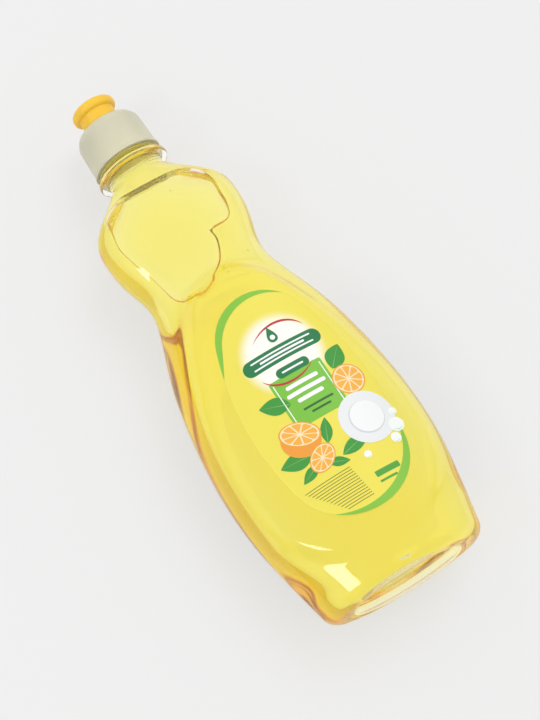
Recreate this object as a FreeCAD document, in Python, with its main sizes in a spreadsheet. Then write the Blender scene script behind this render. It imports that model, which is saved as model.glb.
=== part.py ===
import FreeCAD, Part
import math
import os
import Sketcher

# Dish soap bottle with a push-pull closure, lying on its back as it comes to rest.
# Lengths are millimetres. Every piece is drawn about the neck axis, with the
# underside of the neck's support ring at zero and the cap towards +Y. The pieces
# are then placed so that the back rests on the ground and the length is centred.

doc = FreeCAD.newDocument("dish_soap_bottle")
sheet = doc.addObject("Spreadsheet::Sheet", "Sizes")
vector = FreeCAD.Vector

# Driving dimensions: name, size and what it measures.
SIZES = [
    # Blown body, measured from the underside of the support ring.
    ("body_length", 213.5, "support ring to standing base"),
    ("wall", 0.5, "blown wall"),
    ("base_wall", 1.4, "thicker blown base"),
    ("throat_wall", 1.9, "thick wall where the neck meets the shoulder"),
    ("shoulder_top_wall", 1.52, "wall at the top of the shoulder"),
    ("shoulder_wall", 1.0, "wall at the shoulder"),
    ("heel_round", 5.0, "radius between side wall and base"),
    ("neck_radius", 12.85, "outside of the neck under the ring"),
    ("bore_radius", 10.85, "bore of the neck"),
    # Moulded neck above the body.
    ("ring_radius", 16.5, "support ring"),
    ("ring_height", 2.2, "support ring"),
    ("neck_root", 12.45, "neck wall above the ring"),
    ("bead_radius", 14.8, "bead that the skirt stops at"),
    ("bead_low", 3.1, "bead, start above the ring's underside"),
    ("bead_height", 1.8, "bead, along the neck"),
    ("neck_top", 21.0, "sealing face above the ring's underside"),
    ("lip_round", 0.6, "rounding of the sealing lip"),
    # Label panels, front and back, each one part of a large cylinder.
    ("panel_level", 24.9, "crest of the panel from the axis"),
    ("panel_radius", 74.0, "curve of the panel across the bottle"),
    ("panel_root", 9.0, "level where the panel's drafted wall starts"),
    ("panel_draft", 15.0, "draft of the panel's wall in degrees"),
    ("bearing_level", 24.5, "the back's wall lies flat at this level below the axis"),
    ("panel_top_centre", 89.0, "small end of the egg, centre below the ring"),
    ("panel_top_radius", 23.0, "small end of the egg"),
    ("panel_low_centre", 161.5, "large end of the egg, centre below the ring"),
    ("panel_low_radius", 41.5, "large end of the egg"),
    ("panel_side_radius", 150.0, "flanks of the egg"),
    # Film label on the front panel.
    ("label_film", 0.12, "thickness of the film"),
    ("label_shift", 2.7, "the label sits this far right of the middle"),
    ("label_top_centre", 103.6, "small end, centre below the ring"),
    ("label_top_radius", 22.0, "small end"),
    ("label_low_centre", 161.5, "large end, centre below the ring"),
    ("label_low_radius", 26.0, "large end"),
    ("label_side_radius", 130.0, "flanks"),
    # Standing base.
    ("push_up_half_width", 25.5, "oval recess in the base"),
    ("push_up_half_depth", 15.5, "oval recess in the base"),
    ("push_up_end_radius", 12.0, "ends of the oval recess"),
    ("push_up_height", 3.0, "depth of the recess"),
    ("push_up_draft", 25.0, "draft of the recess's wall in degrees"),
    ("dimple_half_width", 6.5, "locating dimple in the heel"),
    ("dimple_half_length", 3.6, "locating dimple, along the bottle"),
    ("dimple_depth", 1.6, "locating dimple"),
    ("dimple_place", 207.5, "middle of the dimple below the ring"),
    # Soap and its air bubble.
    ("soap_top", 19.0, "soap fills the neck to here"),
    ("bubble_level", 8.5, "free surface under the bubble, above the axis"),
    ("bubble_top_centre", 38.0, "round part of the bubble, centre below the ring"),
    ("bubble_top_radius", 25.5, "round part of the bubble"),
    ("bubble_tip_centre", 66.0, "pointed part of the bubble, centre below the ring"),
    ("bubble_tip_radius", 8.5, "pointed part of the bubble"),
    ("bubble_side_radius", 60.0, "flanks of the bubble"),
    ("bubble_shift", -2.5, "the bubble lies this far right of the middle"),
    # Screw cap.
    ("skirt_low", 5.4, "lower edge of the skirt above the ring's underside"),
    ("skirt_low_radius", 15.35, "skirt, outside at its lower edge"),
    ("skirt_top_radius", 14.95, "skirt, outside below the dome"),
    ("skirt_bore", 14.0, "skirt, inside"),
    ("skirt_rim", 0.45, "the skirt's lower rim stands out by this"),
    ("skirt_rim_height", 1.4, "the rim, along the neck"),
    ("cap_height", 26.2, "top of the dome above the ring's underside"),
    ("dome_round", 6.0, "shoulder of the dome"),
    ("dome_wall", 1.3, "wall of the dome"),
    ("dome_hollow", 9.4, "hollow under the dome"),
    ("liner_height", 1.0, "sealing liner"),
    ("liner_bore", 9.8, "hole in the liner"),
    ("liner_clearance", 0.3, "liner to skirt"),
    # Spout tower inside the knob.
    ("tower_radius", 5.6, "outside of the tower"),
    ("tower_bore", 3.9, "channel of the tower"),
    ("tower_top", 35.0, "top of the tower above the ring's underside"),
    ("snap_bead", 0.5, "bead round the tower's top that stops the knob"),
    ("snap_height", 1.0, "height of that bead"),
    ("pin_radius", 1.9, "pin that plugs the knob"),
    ("spoke_count", 3, "spokes that hold the pin"),
    ("spoke_width", 1.2, "spokes that hold the pin"),
    ("spoke_height", 2.0, "spokes, along the tower"),
    # Pull knob.
    ("knob_clearance", 0.15, "knob to tower"),
    ("knob_gap", 0.3, "knob to dome when shut"),
    ("knob_stem_radius", 8.0, "stem of the knob"),
    ("knob_radius", 10.1, "flange of the knob"),
    ("knob_flange", 4.7, "flange, along the axis"),
    ("knob_top", 36.9, "top of the knob above the ring's underside"),
    ("knob_round", 2.0, "rounding of the flange's rim"),
    ("knob_lip", 0.9, "lip inside the stem's foot"),
]

for row, (alias, value, note) in enumerate(SIZES, start=1):
    sheet.set("A%d" % row, note)
    sheet.set("B%d" % row, str(value))
    sheet.setAlias("B%d" % row, alias)
doc.recompute()

# Cross-sections of the blown body: distance below the ring, half width, half
# depth and the radius of the side, each its own cell.
SECTIONS = [
    ("throat", 3.0, 12.7, 12.0, 10.0),
    ("shoulder_top", 9.0, 18.4, 15.6, 12.6),
    ("shoulder", 18.0, 28.6, 17.7, 13.5),
    ("ball", 31.0, 32.6, 18.4, 14.0),
    ("ball_low", 44.0, 31.0, 17.2, 13.2),
    ("waist", 58.0, 27.6, 16.5, 13.0),
    ("hip_top", 73.0, 30.6, 20.0, 16.0),
    ("hip", 92.0, 37.2, 22.6, 17.0),
    ("flank_top", 115.0, 42.2, 23.8, 17.2),
    ("flank", 142.0, 45.2, 24.2, 17.2),
    ("flank_low", 168.0, 44.6, 24.2, 17.0),
    ("heel_top", 192.0, 40.8, 24.0, 16.5),
    ("heel", "=body_length", 36.4, 23.4, 16.0),
]
SECTION_CELLS = ("place", "half_width", "half_depth", "side_radius")
row = len(SIZES) + 2
for section in SECTIONS:
    for cell, value in zip(SECTION_CELLS, section[1:]):
        alias = "%s_%s" % (section[0], cell)
        sheet.set("A%d" % row, alias.replace("_", " "))
        sheet.set("B%d" % row, str(value))
        sheet.setAlias("B%d" % row, alias)
        row += 1

# Places that follow from the sizes above.
DERIVED = [
    ("axis_height", "bearing_level", "neck axis above the ground"),
    ("ring_place", "(body_length - knob_top) / 2", "ring's underside along the part"),
    ("deck_low", "neck_top + liner_height", "underside of the cap's deck"),
    ("knob_low", "cap_height + knob_gap", "foot of the knob when shut"),
]
for alias, formula, note in DERIVED:
    sheet.set("A%d" % row, note)
    sheet.set("B%d" % row, "=" + formula)
    sheet.setAlias("B%d" % row, alias)
    row += 1
doc.recompute()


def origin_plane(body, role):
    """The body's own origin plane of that role."""
    return next(f for f in body.Origin.OriginFeatures if f.Role == role)


def new_body(name):
    body = doc.addObject("PartDesign::Body", name)
    body.Label = name
    return body


def new_sketch(body, name, role, offset=None):
    """A sketch on the body's own plane, moved along its normal by a formula."""
    sketch = body.newObject("Sketcher::SketchObject", name)
    sketch.AttachmentSupport = [(origin_plane(body, role), "")]
    sketch.MapMode = "FlatFace"
    if offset:
        sketch.setExpression("AttachmentOffset.Base.z", offset)
    return sketch


def bind(sketch, constraint, formula):
    """Add a dimension to a sketch and bind it to a formula of the sheet."""
    index = sketch.addConstraint(constraint)
    sketch.setExpression("Constraints[%d]" % index, formula)


def cell(name):
    return float(sheet.get(name))


def oval(sketch, half_width, half_depth, side_radius, formulas):
    """A closed oval of two side arcs and two broad arcs, each tangent to the next."""
    reach = half_width - side_radius
    broad = (reach ** 2 + half_depth ** 2 - side_radius ** 2) / (2 * (half_depth - side_radius))
    drop = broad - half_depth
    normal = vector(0, 0, 1)
    angle = math.atan2(drop, reach)
    half_turn = math.pi
    spans = [
        (vector(reach, 0, 0), side_radius, -angle, angle),
        (vector(0, -drop, 0), broad, angle, half_turn - angle),
        (vector(-reach, 0, 0), side_radius, half_turn - angle, half_turn + angle),
        (vector(0, drop, 0), broad, half_turn + angle, 2 * half_turn - angle),
    ]
    for centre, radius, start, end in spans:
        sketch.addGeometry(Part.ArcOfCircle(Part.Circle(centre, normal, radius), start, end), False)
    for first, second in ((0, 1), (1, 2), (2, 3)):
        sketch.addConstraint(Sketcher.Constraint("Tangent", first, 2, second, 1))
    sketch.addConstraint(Sketcher.Constraint("Coincident", 3, 2, 0, 1))
    for index, axis in ((0, -1), (1, -2), (2, -1)):
        sketch.addConstraint(Sketcher.Constraint("PointOnObject", index, 3, axis))
    sketch.addConstraint(Sketcher.Constraint("Equal", 0, 2))
    sketch.addConstraint(Sketcher.Constraint("Equal", 1, 3))
    width, depth, side = formulas
    bind(sketch, Sketcher.Constraint("Radius", 0, side_radius), side)
    bind(sketch, Sketcher.Constraint("DistanceX", -1, 1, 0, 3, reach), "%s - %s" % (width, side))
    broad_formula = "(({w} - {r}) ^ 2 + {d} ^ 2 - {r} ^ 2) / (2 * ({d} - {r}))"
    bind(sketch, Sketcher.Constraint("Radius", 1, broad), broad_formula.format(w=width, d=depth, r=side))


def egg(sketch, names, grow, shift=None):
    """An egg of four tangent arcs: names are the cells of its ends and flanks."""
    top_centre, top_radius, low_centre, low_radius, side_radius = (cell(n) for n in names)
    growth = cell(grow) if grow else 0.0
    middle = cell(shift) if shift else 0.0
    top, low, side = top_radius - growth, low_radius - growth, side_radius - growth
    to_top, to_low = side - top, side - low
    apart = low_centre - top_centre
    rise = (to_top ** 2 - to_low ** 2 - apart ** 2) / (2 * apart)
    across = (to_low ** 2 - rise ** 2) ** 0.5
    flank_y = -low_centre - rise
    normal = vector(0, 0, 1)
    half_turn = math.pi
    to_top_angle = math.atan2(-top_centre - flank_y, across)
    to_low_angle = math.atan2(low_centre + flank_y, across)
    spans = [
        (vector(middle, -top_centre, 0), top, to_top_angle, half_turn - to_top_angle),
        (vector(middle + across, flank_y, 0), side, half_turn - to_top_angle, half_turn + to_low_angle),
        (vector(middle, -low_centre, 0), low, half_turn + to_low_angle, 2 * half_turn - to_low_angle),
        (vector(middle - across, flank_y, 0), side, -to_low_angle, to_top_angle),
    ]
    for centre, radius, start, end in spans:
        sketch.addGeometry(Part.ArcOfCircle(Part.Circle(centre, normal, radius), start, end), False)
    for first, second in ((0, 1), (1, 2), (2, 3)):
        sketch.addConstraint(Sketcher.Constraint("Tangent", first, 2, second, 1))
    sketch.addConstraint(Sketcher.Constraint("Tangent", 3, 2, 0, 1))
    less = " - Sizes." + grow if grow else ""
    formulas = ["Sizes." + n + less for n in (names[1], names[4], names[3])]
    bind(sketch, Sketcher.Constraint("Radius", 0, top), formulas[0])
    bind(sketch, Sketcher.Constraint("Radius", 1, side), formulas[1])
    bind(sketch, Sketcher.Constraint("Radius", 2, low), formulas[2])
    sketch.addConstraint(Sketcher.Constraint("Equal", 1, 3))
    bind(sketch, Sketcher.Constraint("DistanceY", 0, 3, -1, 1, top_centre), "Sizes." + names[0])
    bind(sketch, Sketcher.Constraint("DistanceY", 2, 3, -1, 1, low_centre), "Sizes." + names[2])
    if shift:
        bind(sketch, Sketcher.Constraint("DistanceX", -1, 1, 0, 3, middle), "Sizes." + shift)
        bind(sketch, Sketcher.Constraint("DistanceX", -1, 1, 2, 3, middle), "Sizes." + shift)
    else:
        sketch.addConstraint(Sketcher.Constraint("PointOnObject", 0, 3, -2))
        sketch.addConstraint(Sketcher.Constraint("PointOnObject", 2, 3, -2))


def turned(body, name, points, rounds=()):
    """Revolve a closed half profile about the neck axis.

    Each point is a pair of formulas, the radius and the place along the axis.
    rounds maps the number of a corner to the formula of its fillet.
    """
    sketch = new_sketch(body, name + "_profile", "XY_Plane")
    places = [(evaluate(x), evaluate(y)) for x, y in points]
    count = len(points)
    for index in range(count):
        start, end = places[index], places[(index + 1) % count]
        sketch.addGeometry(Part.LineSegment(vector(*start, 0), vector(*end, 0)), False)
    for index in range(count):
        sketch.addConstraint(Sketcher.Constraint("Coincident", index, 2, (index + 1) % count, 1))
    for index, (across, along) in enumerate(points):
        pin(sketch, "DistanceX", index, places[index][0], across)
        pin(sketch, "DistanceY", index, places[index][1], along)
    revolve = body.newObject("PartDesign::Revolution", name)
    revolve.Profile = sketch
    revolve.ReferenceAxis = (sketch, ["V_Axis"])
    revolve.Angle = 360.0
    doc.recompute()
    return revolve


def pin(sketch, kind, index, value, formula):
    """Fix one coordinate of a line's start, on an axis where it is zero."""
    if formula == "0":
        axis = -2 if kind == "DistanceX" else -1
        sketch.addConstraint(Sketcher.Constraint("PointOnObject", index, 1, axis))
    else:
        bind(sketch, Sketcher.Constraint(kind, -1, 1, index, 1, value), formula)


def evaluate(formula):
    """The value now of a formula of the sheet's cells."""
    probe = sheet.evalExpression(formula)
    return float(getattr(probe, "Value", probe))


# How near a circle's radius and place come to the ones asked for.
MATCH = 0.01


def circle_edges(shape, radius, place):
    """Names of the circular edges of that radius at that place along the axis."""
    names = []
    for index, edge in enumerate(shape.Edges, start=1):
        curve = edge.Curve
        if isinstance(curve, Part.Circle) and abs(curve.Radius - radius) < MATCH:
            if abs(curve.Center.y - place) < MATCH:
                names.append("Edge%d" % index)
    return names


def round_off(body, name, feature, radius, edges):
    fillet = body.newObject("PartDesign::Fillet", name)
    fillet.Base = (feature, edges)
    fillet.Radius = evaluate(radius)
    fillet.setExpression("Radius", radius)
    doc.recompute()
    return fillet


# Wall of each cross-section: thick at the neck, thin from the ball on.
SECTION_WALLS = {
    "throat": "Sizes.throat_wall",
    "shoulder_top": "Sizes.shoulder_top_wall",
    "shoulder": "Sizes.shoulder_wall",
}

# The heel turns through a quarter circle in these shares of its radius, each a
# distance above the base.
HEEL_STEPS = (1.0, 0.62, 0.3, 0.08, 0.0)


def body_section(body, name, section, inner, heel_share=None):
    """One oval of the body's form, inset by the wall and drawn in round the heel."""
    label, sizes = section[0], section[2:]
    inset = SECTION_WALLS.get(label, "Sizes.wall") if inner else "0"
    place_formula = "Sizes.%s_place" % label
    heel_radius = "(Sizes.heel_round - %s)" % inset
    if heel_share is not None:
        bottom = "Sizes.base_wall" if inner else "0"
        place_formula += " - %s - %.3f * %s" % (bottom, heel_share, heel_radius)
        drawn_in = 1 - math.sqrt(1 - (1 - heel_share) ** 2)
        inset = "(%s + %.4f * %s)" % (inset, drawn_in, heel_radius)
    sketch = new_sketch(body, name, "XZ_Plane", place_formula)
    thickness = evaluate(inset)
    formulas = ["(Sizes.%s_%s - %s)" % (label, c, inset) for c in SECTION_CELLS[1:]]
    oval(sketch, *(size - thickness for size in sizes), formulas)
    return sketch


def loft(body, name, sections):
    feature = body.newObject("PartDesign::AdditiveLoft", name)
    feature.Profile = sections[0]
    feature.Sections = sections[1:]
    feature.Ruled = False
    doc.recompute()


def blown_form(name, inner):
    """The body's form: a loft of ovals and a rounded heel, or the same less the wall."""
    body = new_body(name)
    main = [body_section(body, name + "_" + section[0], section, inner) for section in SECTIONS[:-1]]
    heel = SECTIONS[-1]
    main.append(body_section(body, name + "_heel_top_edge", heel, inner, HEEL_STEPS[0]))
    loft(body, name + "_side", main)
    turn = [body_section(body, "%s_heel_%d" % (name, step), heel, inner, share)
            for step, share in enumerate(HEEL_STEPS)]
    loft(body, name + "_heel", turn)
    return body


PANEL = ("panel_top_centre", "panel_top_radius", "panel_low_centre", "panel_low_radius",
         "panel_side_radius")
LABEL = ("label_top_centre", "label_top_radius", "label_low_centre", "label_low_radius",
         "label_side_radius")
BUBBLE = ("bubble_top_centre", "bubble_top_radius", "bubble_tip_centre", "bubble_tip_radius",
          "bubble_side_radius")


def along_neck(name, radius, start, length):
    """A cylinder about a line parallel to the neck axis, sized and placed by formulas."""
    cylinder = doc.addObject("Part::Cylinder", name)
    cylinder.Placement = FreeCAD.Placement(vector(0, 0, 0), FreeCAD.Rotation(vector(1, 0, 0), -90))
    cylinder.setExpression("Radius", radius)
    cylinder.setExpression("Height", length)
    cylinder.setExpression("Placement.Base.y", start)
    return cylinder


def panel_cylinder(name, radius):
    """The large cylinder whose surface is the label panel."""
    cylinder = along_neck(name, radius, "-Sizes.body_length", "Sizes.body_length")
    cylinder.setExpression("Placement.Base.z", "Sizes.panel_level - Sizes.panel_radius")
    return cylinder


def boolean(kind, name, base, tool):
    result = doc.addObject("Part::" + kind, name)
    result.Base = base
    result.Tool = tool
    return result


def fuse(name, shapes):
    result = doc.addObject("Part::MultiFuse", name)
    result.Shapes = shapes
    return result


def panels(name, grow, less):
    """Front and back panels: drafted egg-shaped blanks under the large cylinder."""
    blank = new_body(name + "_blank")
    sketch = new_sketch(blank, name + "_egg", "XY_Plane", "Sizes.panel_root")
    egg(sketch, PANEL, grow)
    pad = blank.newObject("PartDesign::Pad", name + "_pad")
    pad.Profile = sketch
    pad.setExpression("Length", "Sizes.panel_level - Sizes.panel_root")
    pad.setExpression("TaperAngle", "-Sizes.panel_draft")
    curve = panel_cylinder(name + "_curve", "Sizes.panel_radius" + less)
    front = boolean("Common", name + "_front", blank, curve)
    back = doc.addObject("Part::Mirroring", name + "_back")
    back.Source = front
    back.Normal = vector(0, 0, 1)
    return [front, back]


def below_bearing(name, less):
    """All that lies below the flat that the bottle's weight presses into its thin back."""
    block = doc.addObject("Part::Box", name)
    block.setExpression("Length", "2 * Sizes.panel_radius")
    block.setExpression("Width", "Sizes.body_length")
    block.setExpression("Height", "Sizes.panel_radius")
    block.setExpression("Placement.Base.x", "-Sizes.panel_radius")
    block.setExpression("Placement.Base.y", "-Sizes.body_length")
    block.setExpression("Placement.Base.z", "-(Sizes.bearing_level%s) - Sizes.panel_radius" % less)
    return block


def push_up(name, grow, height):
    """The oval recess in the standing base, as a drafted blank."""
    body = new_body(name)
    sketch = new_sketch(body, name + "_oval", "XZ_Plane", "Sizes.body_length")
    names = ("push_up_half_width", "push_up_half_depth", "push_up_end_radius")
    sizes = [cell(n) + evaluate(grow) for n in names]
    oval(sketch, *sizes, ["(Sizes.%s + %s)" % (n, grow) for n in names])
    pad = body.newObject("PartDesign::Pad", name + "_pad")
    pad.Profile = sketch
    pad.Reversed = True
    pad.setExpression("Length", height)
    pad.setExpression("TaperAngle", "-Sizes.push_up_draft")
    return body


def dimple(name, grow):
    """The locating dimple in the front heel, as an ellipsoid sunk by its depth."""
    blank = doc.addObject("Part::Ellipsoid", name)
    blank.setExpression("Radius1", "2 * Sizes.dimple_depth + " + grow)
    blank.setExpression("Radius2", "Sizes.dimple_half_width + " + grow)
    blank.setExpression("Radius3", "Sizes.dimple_half_length + " + grow)
    blank.setExpression("Placement.Base.y", "-Sizes.dimple_place")
    blank.setExpression("Placement.Base.z", "Sizes.heel_half_depth + Sizes.dimple_depth")
    return blank


# Moulded neck with its support ring and bead.
neck = new_body("neck_form")
neck_turned = turned(neck, "neck_turning", [
    ("0", "-Sizes.throat_place - Sizes.ring_height"),
    ("Sizes.neck_radius", "-Sizes.throat_place - Sizes.ring_height"),
    ("Sizes.neck_radius", "0"),
    ("Sizes.ring_radius", "0"),
    ("Sizes.ring_radius", "Sizes.ring_height"),
    ("Sizes.neck_root", "Sizes.ring_height"),
    ("Sizes.neck_root", "Sizes.bead_low"),
    ("Sizes.bead_radius", "Sizes.bead_low"),
    ("Sizes.bead_radius", "Sizes.bead_low + Sizes.bead_height"),
    ("Sizes.neck_root", "Sizes.bead_low + Sizes.bead_height"),
    ("Sizes.neck_root", "Sizes.neck_top"),
    ("0", "Sizes.neck_top"),
])
ring_edges = circle_edges(neck_turned.Shape, cell("ring_radius"), 0)
ring_edges += circle_edges(neck_turned.Shape, cell("ring_radius"), cell("ring_height"))
ring_edges += circle_edges(neck_turned.Shape, cell("bead_radius"), cell("bead_low"))
ring_edges += circle_edges(neck_turned.Shape, cell("bead_radius"), cell("bead_low") + cell("bead_height"))
ring_edges += circle_edges(neck_turned.Shape, cell("neck_root"), cell("neck_top"))
round_off(neck, "neck_rounds", neck_turned, "Sizes.lip_round", ring_edges)

# Bottle: the outer form less the cavity, the bore and the dimple.
outer_parts = [blown_form("outer_form", False)] + panels("outer_panel", None, "") + [neck]
outer = fuse("outer_whole", outer_parts)
outer_lying = boolean("Cut", "outer_lying", outer, below_bearing("outer_below", ""))
outer_base = boolean("Cut", "outer_base", outer_lying, push_up("outer_push_up", "0", "Sizes.push_up_height"))
outer_dimpled = boolean("Cut", "outer_dimpled", outer_base, dimple("outer_dimple", "0"))

inner_parts = [blown_form("inner_form", True)] + panels("inner_panel", "wall", " - Sizes.wall")
inner = fuse("inner_whole", inner_parts)
inner_lying = boolean("Cut", "inner_lying", inner, below_bearing("inner_below", " - Sizes.wall"))
inner_push_up = push_up("inner_push_up", "Sizes.wall", "Sizes.push_up_height + Sizes.base_wall")
inner_base = boolean("Cut", "inner_base", inner_lying, inner_push_up)
cavity = boolean("Cut", "cavity", inner_base, dimple("inner_dimple", "Sizes.wall"))
bore = along_neck("bore", "Sizes.bore_radius", "-Sizes.shoulder_top_place",
                  "Sizes.shoulder_top_place + Sizes.neck_top + 1")
bottle_solid = boolean("Cut", "bottle_hollow", outer_dimpled, cavity)
bottle = boolean("Cut", "bottle", bottle_solid, bore)

# Soap: the cavity and the neck's filling, less the air bubble.
soap_neck = along_neck("soap_neck", "Sizes.bore_radius", "-Sizes.shoulder_top_place",
                       "Sizes.shoulder_top_place + Sizes.soap_top")
filling = fuse("filling", [cavity, soap_neck])
bubble = new_body("bubble")
bubble_sketch = new_sketch(bubble, "bubble_outline", "XY_Plane", "Sizes.bubble_level")
egg(bubble_sketch, BUBBLE, None, "bubble_shift")
bubble_pad = bubble.newObject("PartDesign::Pad", "bubble_pad")
bubble_pad.Profile = bubble_sketch
bubble_pad.setExpression("Length", "Sizes.panel_level")
dish_soap = boolean("Cut", "dish_soap", filling, bubble)

# Label: a film of even thickness on the front panel.
label_blank = new_body("label_blank")
label_sketch = new_sketch(label_blank, "label_outline", "XY_Plane")
egg(label_sketch, LABEL, None, "label_shift")
label_pad = label_blank.newObject("PartDesign::Pad", "label_pad")
label_pad.Profile = label_sketch
label_pad.setExpression("Length", "Sizes.panel_level + Sizes.label_film * 2")
film_outside = panel_cylinder("label_outside", "Sizes.panel_radius + Sizes.label_film")
film = boolean("Cut", "label_curve", film_outside, panel_cylinder("label_inside", "Sizes.panel_radius"))
front_label = boolean("Common", "front_label", label_blank, film)

# Sealing liner on the neck's lip.
sealing_liner = new_body("sealing_liner")
turned(sealing_liner, "liner_turning", [
    ("Sizes.liner_bore", "Sizes.neck_top"),
    ("Sizes.skirt_bore - Sizes.liner_clearance", "Sizes.neck_top"),
    ("Sizes.skirt_bore - Sizes.liner_clearance", "Sizes.deck_low"),
    ("Sizes.liner_bore", "Sizes.deck_low"),
])

# Screw cap: skirt, dome and spout tower in one piece.
screw_cap = new_body("screw_cap")
cap_turned = turned(screw_cap, "cap_turning", [
    ("Sizes.skirt_bore", "Sizes.skirt_low"),
    ("Sizes.skirt_low_radius + Sizes.skirt_rim", "Sizes.skirt_low"),
    ("Sizes.skirt_low_radius + Sizes.skirt_rim", "Sizes.skirt_low + Sizes.skirt_rim_height"),
    ("Sizes.skirt_low_radius", "Sizes.skirt_low + Sizes.skirt_rim_height"),
    ("Sizes.skirt_top_radius", "Sizes.cap_height - Sizes.dome_round"),
    ("Sizes.skirt_top_radius", "Sizes.cap_height"),
    ("Sizes.tower_radius", "Sizes.cap_height"),
    ("Sizes.tower_radius", "Sizes.tower_top - Sizes.snap_height"),
    ("Sizes.tower_radius + Sizes.snap_bead", "Sizes.tower_top - Sizes.snap_height / 2"),
    ("Sizes.tower_radius", "Sizes.tower_top"),
    ("Sizes.tower_bore", "Sizes.tower_top"),
    ("Sizes.tower_bore", "Sizes.cap_height - Sizes.dome_wall"),
    ("Sizes.dome_hollow", "Sizes.cap_height - Sizes.dome_wall"),
    ("Sizes.dome_hollow", "Sizes.deck_low"),
    ("Sizes.skirt_bore", "Sizes.deck_low"),
])
dome_edges = circle_edges(cap_turned.Shape, cell("skirt_top_radius"), cell("cap_height"))
# The dome's round takes all of the wall's height but a sliver that the fillet needs.
round_off(screw_cap, "cap_dome", cap_turned, "Sizes.dome_round - %s" % MATCH, dome_edges)


def spokes(body):
    """Three spokes across the tower's channel that carry the pin."""
    sketch = new_sketch(body, "spoke_profile", "XZ_Plane", "-(Sizes.cap_height - Sizes.dome_wall)")
    half = cell("spoke_width") / 2
    reach = cell("tower_bore") + cell("snap_bead")
    corners = [vector(0, -half, 0), vector(reach, -half, 0), vector(reach, half, 0), vector(0, half, 0)]
    for index in range(4):
        sketch.addGeometry(Part.LineSegment(corners[index], corners[(index + 1) % 4]), False)
    for index in range(4):
        sketch.addConstraint(Sketcher.Constraint("Coincident", index, 2, (index + 1) % 4, 1))
    sketch.addConstraint(Sketcher.Constraint("Horizontal", 0))
    sketch.addConstraint(Sketcher.Constraint("Horizontal", 2))
    sketch.addConstraint(Sketcher.Constraint("Vertical", 1))
    sketch.addConstraint(Sketcher.Constraint("Vertical", 3))
    sketch.addConstraint(Sketcher.Constraint("Symmetric", 3, 1, 3, 2, -1, 1))
    bind(sketch, Sketcher.Constraint("DistanceY", 3, 2, 3, 1, 2 * half), "Sizes.spoke_width")
    bind(sketch, Sketcher.Constraint("DistanceX", 0, 1, 0, 2, reach), "Sizes.tower_bore + Sizes.snap_bead")
    pad = body.newObject("PartDesign::Pad", "spoke")
    pad.Profile = sketch
    pad.Reversed = True
    pad.setExpression("Length", "Sizes.spoke_height")
    doc.recompute()
    pattern = body.newObject("PartDesign::PolarPattern", "spoke_pattern")
    pattern.Originals = [pad]
    axis = next(f for f in body.Origin.OriginFeatures if f.Role == "Y_Axis")
    pattern.Axis = (axis, [""])
    pattern.Angle = 360.0
    pattern.setExpression("Occurrences", "Sizes.spoke_count")
    body.Tip = pattern
    doc.recompute()


spokes(screw_cap)
turned(screw_cap, "pin_turning", [
    ("0", "Sizes.cap_height - Sizes.dome_wall"),
    ("Sizes.pin_radius", "Sizes.cap_height - Sizes.dome_wall"),
    ("Sizes.pin_radius", "Sizes.knob_top - Sizes.knob_gap"),
    ("0", "Sizes.knob_top - Sizes.knob_gap"),
])

# Pull knob: a stem over the tower under a broad flange.
BEAD_ROOM = "Sizes.tower_radius + Sizes.snap_bead + Sizes.knob_clearance"
pull_knob = new_body("pull_knob")
knob_turned = turned(pull_knob, "knob_turning", [
    ("Sizes.tower_radius + Sizes.knob_clearance", "Sizes.knob_low"),
    ("Sizes.knob_stem_radius", "Sizes.knob_low"),
    ("Sizes.knob_stem_radius", "Sizes.knob_top - Sizes.knob_flange"),
    ("Sizes.knob_radius", "Sizes.knob_top - Sizes.knob_flange"),
    ("Sizes.knob_radius", "Sizes.knob_top"),
    ("Sizes.pin_radius + Sizes.knob_clearance", "Sizes.knob_top"),
    ("Sizes.pin_radius + Sizes.knob_clearance", "Sizes.tower_top + Sizes.knob_clearance"),
    (BEAD_ROOM, "Sizes.tower_top + Sizes.knob_clearance"),
    (BEAD_ROOM, "Sizes.knob_low + Sizes.knob_lip"),
    ("Sizes.tower_radius + Sizes.knob_clearance", "Sizes.knob_low + Sizes.knob_lip"),
])
knob_edges = circle_edges(knob_turned.Shape, cell("knob_radius"), cell("knob_top"))
knob_edges += circle_edges(knob_turned.Shape, cell("knob_radius"), cell("knob_top") - cell("knob_flange"))
round_off(pull_knob, "knob_rounds", knob_turned, "Sizes.knob_round", knob_edges)

# Every piece is placed from the ring to the part's own frame.
NODES = [bottle, dish_soap, front_label, sealing_liner, screw_cap, pull_knob]
for node in NODES:
    node.setExpression("Placement.Base.y", "Sizes.ring_place")
    node.setExpression("Placement.Base.z", "Sizes.axis_height")
doc.recompute()

for item in doc.Objects:
    if "Invalid" in item.State or "Error" in item.State:
        raise RuntimeError("%s failed: %s" % (item.Name, item.getStatusString()))
for node in NODES:
    shape = node.Shape
    if shape.isNull() or not shape.isValid():
        raise RuntimeError("%s has no valid shape" % node.Label)

os.makedirs("parts", exist_ok=True)
for node in NODES:
    node.Shape.exportStep("parts/%s.step" % node.Label)
    box = node.Shape.BoundBox
    print("%-14s %d solid(s) %9.1f mm3  x %.1f..%.1f  y %.1f..%.1f  z %.1f..%.1f" % (
        node.Label, len(node.Shape.Solids), node.Shape.Volume, box.XMin, box.XMax,
        box.YMin, box.YMax, box.ZMin, box.ZMax))
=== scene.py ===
import math

import bmesh
import bpy
import numpy
from bpy.props import FloatProperty, FloatVectorProperty, IntProperty, PointerProperty
from mathutils import Matrix, Vector


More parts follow.
